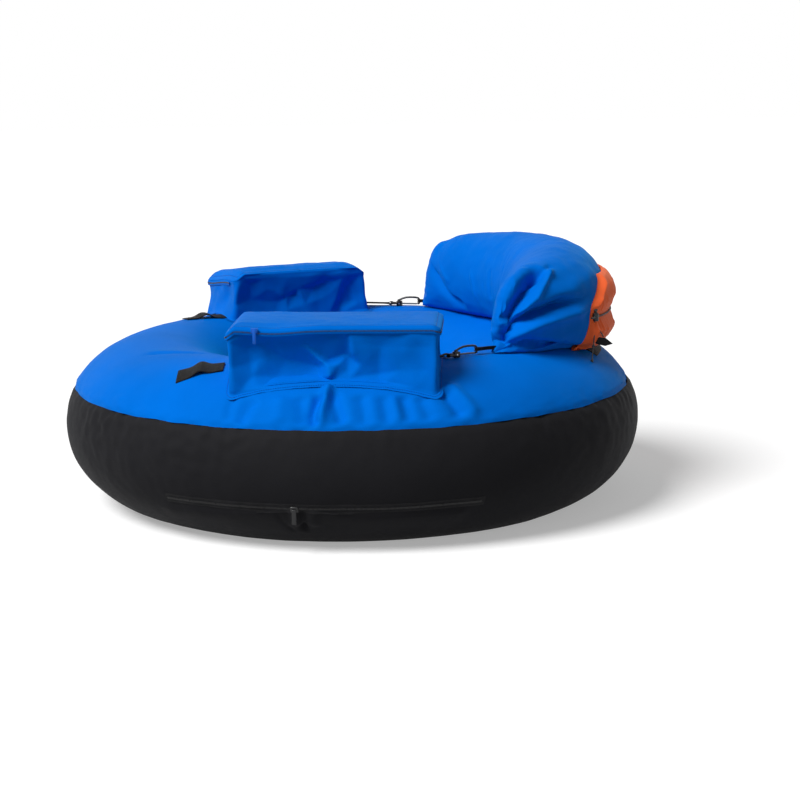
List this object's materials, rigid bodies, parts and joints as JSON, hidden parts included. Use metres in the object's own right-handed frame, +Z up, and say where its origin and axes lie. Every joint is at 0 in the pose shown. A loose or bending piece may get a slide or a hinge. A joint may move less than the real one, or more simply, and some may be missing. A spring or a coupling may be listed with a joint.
{
  "type": "float tube",
  "caption": "Ring-shaped inflatable float tube with a hinged crescent backrest, zipped side pockets, sling seat with crotch strap, and a cinched high-visibility rear pouch.",
  "frame": {"origin": "on the floor under the centre of the ring's hole", "axes": "+Z up, +X towards the backrest, -X towards the bow, -Y towards the seated angler's left"},
  "size_m": [1.1182, 1.1182, 0.4891],
  "materials": {
    "cover_blue": "coated woven pack cloth with a low sheen",
    "cover_black": "coated woven pack cloth with a low sheen",
    "fabric_orange": "thin high-visibility nylon, slightly glossy",
    "webbing_black": "ribbed webbing, matt",
    "binding_tape": "woven tape, matt",
    "bladder_film": "smooth welded film, satin",
    "plastic_black": "moulded acetal, semi-gloss",
    "plastic_grey": "moulded, satin",
    "cord_black": "braided cord, matt",
    "spring_steel": "bright wire"
  },
  "bodies": {
    "tube": {"top_cover": "cover_blue", "bottom_cover": "cover_black", "inner_bottom_cover": "cover_black", "outer_seam_binding": "binding_tape", "hole_seam_binding": "binding_tape", "main_bladder": "bladder_film", "main_valve_body": "plastic_grey", "cover_zip_tape": "binding_tape", "left_pocket_body": "cover_blue", "left_pocket_zip_tape": "binding_tape", "right_pocket_body": "cover_blue", "right_pocket_zip_tape": "binding_tape", "backrest_hinge_flap": "webbing_black", "left_webbing_tab": "webbing_black", "right_webbing_tab": "webbing_black", "left_hook_strap": "webbing_black", "right_hook_strap": "webbing_black", "seat_panel": "cover_black", "crotch_strap_rear": "webbing_black", "crotch_strap_front": "webbing_black", "buckle_socket": "plastic_black"},
    "backrest": {"backrest_cover": "cover_blue", "backrest_bladder": "bladder_film", "backrest_valve_body": "plastic_grey", "rear_pouch": "fabric_orange", "drawcord": "cord_black", "drawcord_end": "cord_black", "cord_lock_body": "plastic_black", "cord_lock_spring": "spring_steel", "cord_tail_long": "cord_black", "cord_tail_short": "cord_black", "cord_pull_tab": "webbing_black", "left_hook_body": "plastic_black", "left_hook_gate_pin": "spring_steel", "left_backrest_loop": "webbing_black", "right_hook_body": "plastic_black", "right_hook_gate_pin": "spring_steel", "right_backrest_loop": "webbing_black"},
    "main_valve_plug": {"main_valve_cap": "plastic_black"},
    "backrest_valve_plug": {"backrest_valve_cap": "plastic_black"},
    "cover_slider": {"cover_zip_slider": "plastic_black"},
    "cover_pull": {"cover_zip_pull": "plastic_black"},
    "left_lid": {"left_pocket_lid": "cover_blue"},
    "right_lid": {"right_pocket_lid": "cover_blue"},
    "left_slider": {"left_pocket_slider": "plastic_black"},
    "left_pull": {"left_pocket_pull": "plastic_black"},
    "right_slider": {"right_pocket_slider": "plastic_black"},
    "right_pull": {"right_pocket_pull": "plastic_black"},
    "left_gate": {"left_hook_gate": "plastic_grey"},
    "right_gate": {"right_hook_gate": "plastic_grey"},
    "lock_button": {"cord_lock_button": "plastic_black"},
    "plug": {"buckle_plug": "plastic_black"}
  },
  "joints": [
    {"name": "backrest_recline", "type": "hinge", "parent": "tube", "child": "backrest", "pos_m": [0.469, 0, 0.2965], "axis": [0, 1, 0], "range_deg": [0, 20], "deforming": ["left_hook_strap", "right_hook_strap"]},
    {"name": "main_valve_cap_pull", "type": "slide", "parent": "tube", "child": "main_valve_plug", "axis": [0.1989, 0.8284, 0.5236], "range_m": [0, 0.02]},
    {"name": "backrest_valve_cap_pull", "type": "slide", "parent": "backrest", "child": "backrest_valve_plug", "axis": [0.4608, 0.8752, 0.1474], "range_m": [0, 0.015]},
    {"name": "cover_zip_run", "type": "hinge", "parent": "tube", "child": "cover_slider", "pos_m": [0, 0, 0], "axis": [0, 0, 1], "range_deg": [-25, 34]},
    {"name": "cover_pull_swing", "type": "hinge", "parent": "cover_slider", "child": "cover_pull", "pos_m": [-0.16933, -0.52115, 0.0857], "axis": [-0.9511, 0.309, 0], "range_deg": [-20, 120]},
    {"name": "left_lid_hinge", "type": "hinge", "parent": "tube", "child": "left_lid", "pos_m": [-0.05591, -0.28762, 0.397], "axis": [-0.9816, 0.1908, 0], "range_deg": [0, 105]},
    {"name": "right_lid_hinge", "type": "hinge", "parent": "tube", "child": "right_lid", "pos_m": [-0.08076, 0.28165, 0.397], "axis": [0.9613, 0.2756, 0], "range_deg": [0, 105]},
    {"name": "left_zip_run", "type": "slide", "parent": "tube", "child": "left_slider", "axis": [0.9816, -0.1908, 0], "range_m": [0, 0.27]},
    {"name": "left_pull_swing", "type": "hinge", "parent": "left_slider", "child": "left_pull", "pos_m": [-0.22534, -0.44233, 0.3904], "axis": [-0.9816, 0.1908, 0], "range_deg": [0, 150]},
    {"name": "right_zip_run", "type": "slide", "parent": "tube", "child": "right_slider", "axis": [0.9613, 0.2756, 0], "range_m": [0, 0.18]},
    {"name": "right_pull_swing", "type": "hinge", "parent": "right_slider", "child": "right_pull", "pos_m": [-0.21601, 0.43449, 0.3904], "axis": [0.9613, 0.2756, 0], "range_deg": [0, 150]},
    {"name": "left_gate_spring", "type": "hinge", "parent": "backrest", "child": "left_gate", "pos_m": [0.14722, -0.35195, 0.3228], "axis": [0.3584, -0.9336, 0], "range_deg": [0, 14], "stiffness_Nm_per_rad": 0.02, "springref_deg": -11.46},
    {"name": "right_gate_spring", "type": "hinge", "parent": "backrest", "child": "right_gate", "pos_m": [0.14722, 0.35195, 0.3228], "axis": [-0.3584, -0.9336, 0], "range_deg": [0, 14], "stiffness_Nm_per_rad": 0.02, "springref_deg": -11.46},
    {"name": "cord_lock_press", "type": "slide", "parent": "backrest", "child": "lock_button", "axis": [0, 0, -1], "range_m": [0, 0.004], "stiffness_N_per_m": 150, "springref_m": -0.002, "deforming": ["cord_lock_spring"]},
    {"name": "buckle_release", "type": "slide", "parent": "tube", "child": "plug", "axis": [-1, 0, 0], "range_m": [0, 0.028], "deforming": ["crotch_strap_front"]}
  ]
}
